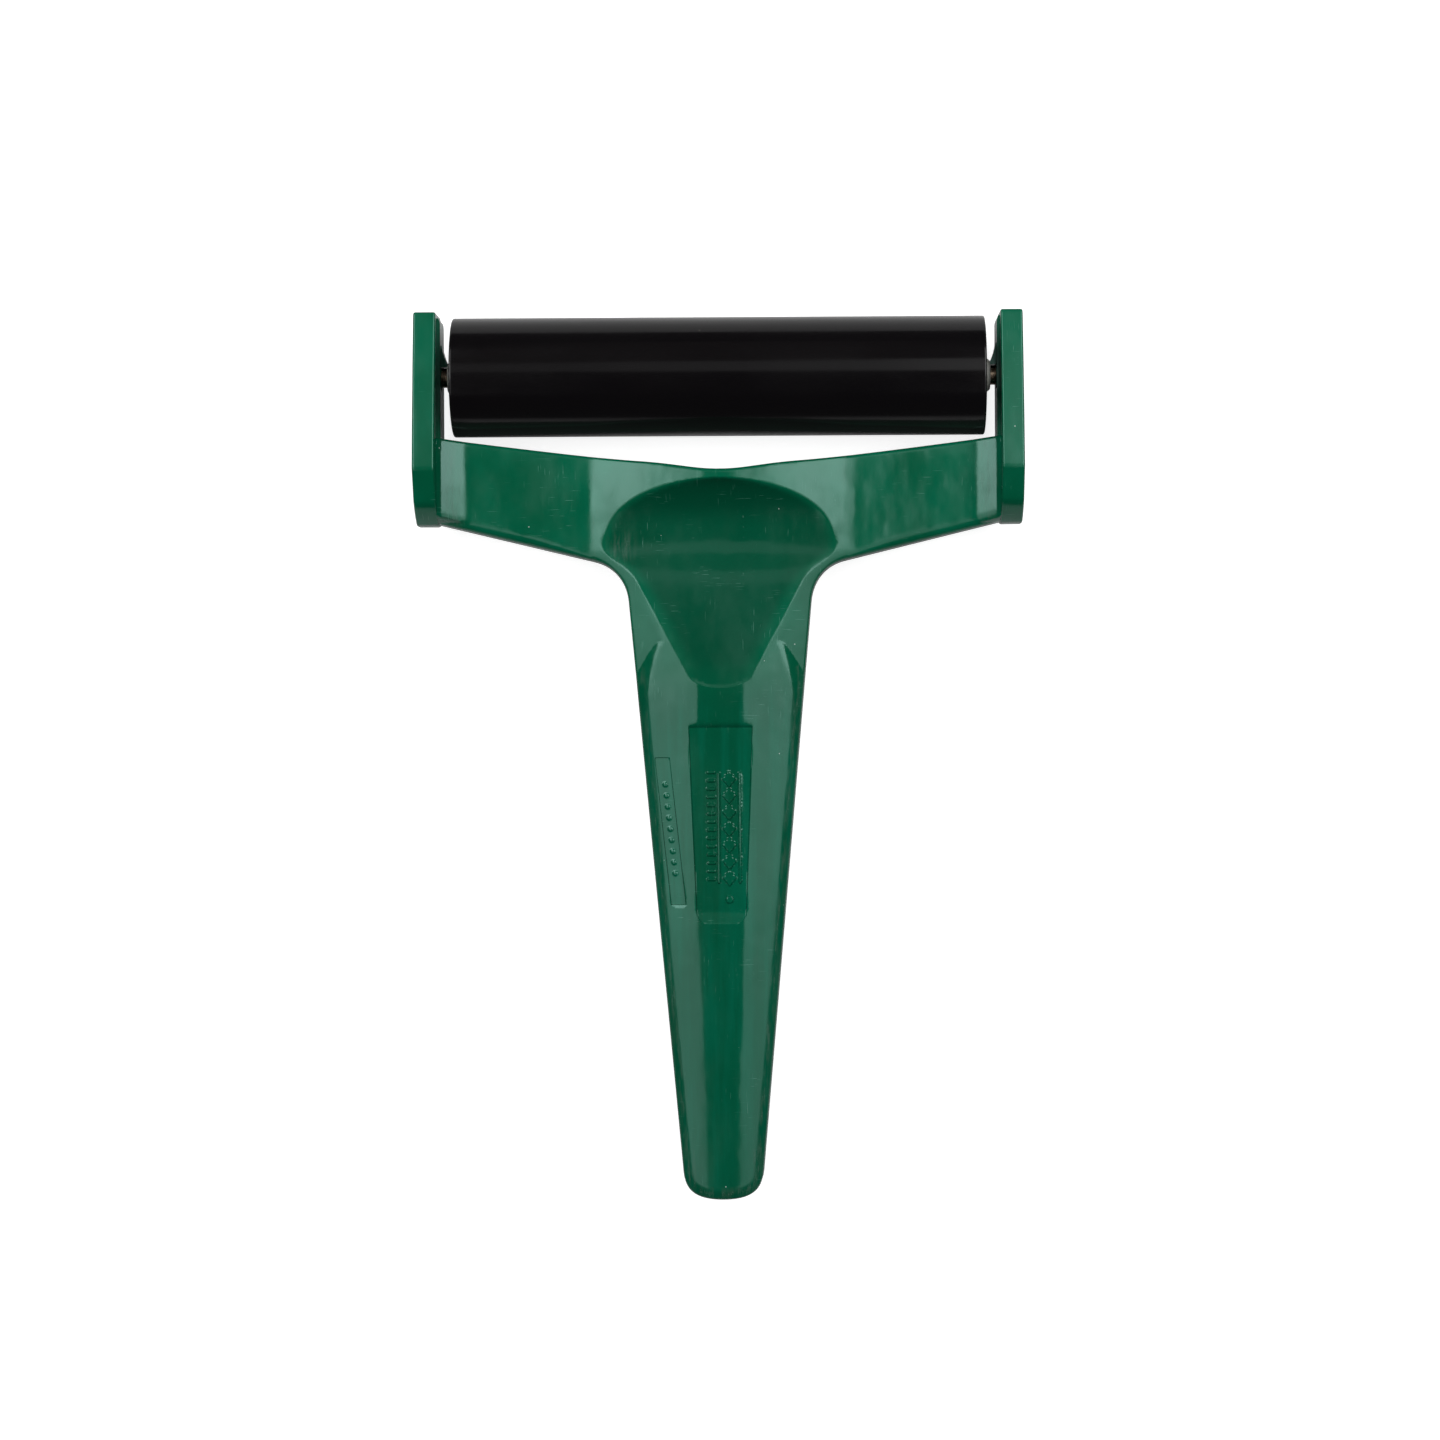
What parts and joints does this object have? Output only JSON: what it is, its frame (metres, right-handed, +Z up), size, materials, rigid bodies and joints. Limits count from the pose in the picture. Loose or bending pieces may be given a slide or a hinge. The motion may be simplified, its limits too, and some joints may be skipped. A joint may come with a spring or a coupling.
{
  "type": "rubber brayer",
  "caption": "Hand brayer for rolling ink: a rubber roller turns freely on a steel axle between the cheeks of a one-piece plastic handle and yoke.",
  "frame": {"origin": "on the table under the middle of the whole brayer, as it lies at rest on its roller and the heel under the handle's end", "axes": "+Y from the handle's end towards the roller, +Z up from the table, X along the roller"},
  "size_m": [0.1254, 0.184, 0.0246],
  "materials": {
    "green_plastic": "glossy injection-moulded dark green plastic, lightly scuffed",
    "axle_steel": "dull bare steel, slightly oxidised",
    "black_rubber": "ground smooth black rubber with a soft sheen",
    "core_aluminium": "plain drawn tube",
    "black_plastic": "moulded, satin",
    "grey_nylon": "natural nylon, satin"
  },
  "bodies": {
    "frame": {"handle_frame": "green_plastic", "axle": "axle_steel"},
    "roller": {"rubber_sleeve": "black_rubber", "core_tube": "core_aluminium", "hub_right": "black_plastic", "hub_left": "black_plastic", "bush_right": "grey_nylon", "bush_left": "grey_nylon"}
  },
  "joints": [
    {"name": "roller_spin", "type": "hinge", "parent": "frame", "child": "roller", "pos_m": [0, 0.079, 0.0123], "axis": [1, 0, 0], "continuous": true}
  ]
}
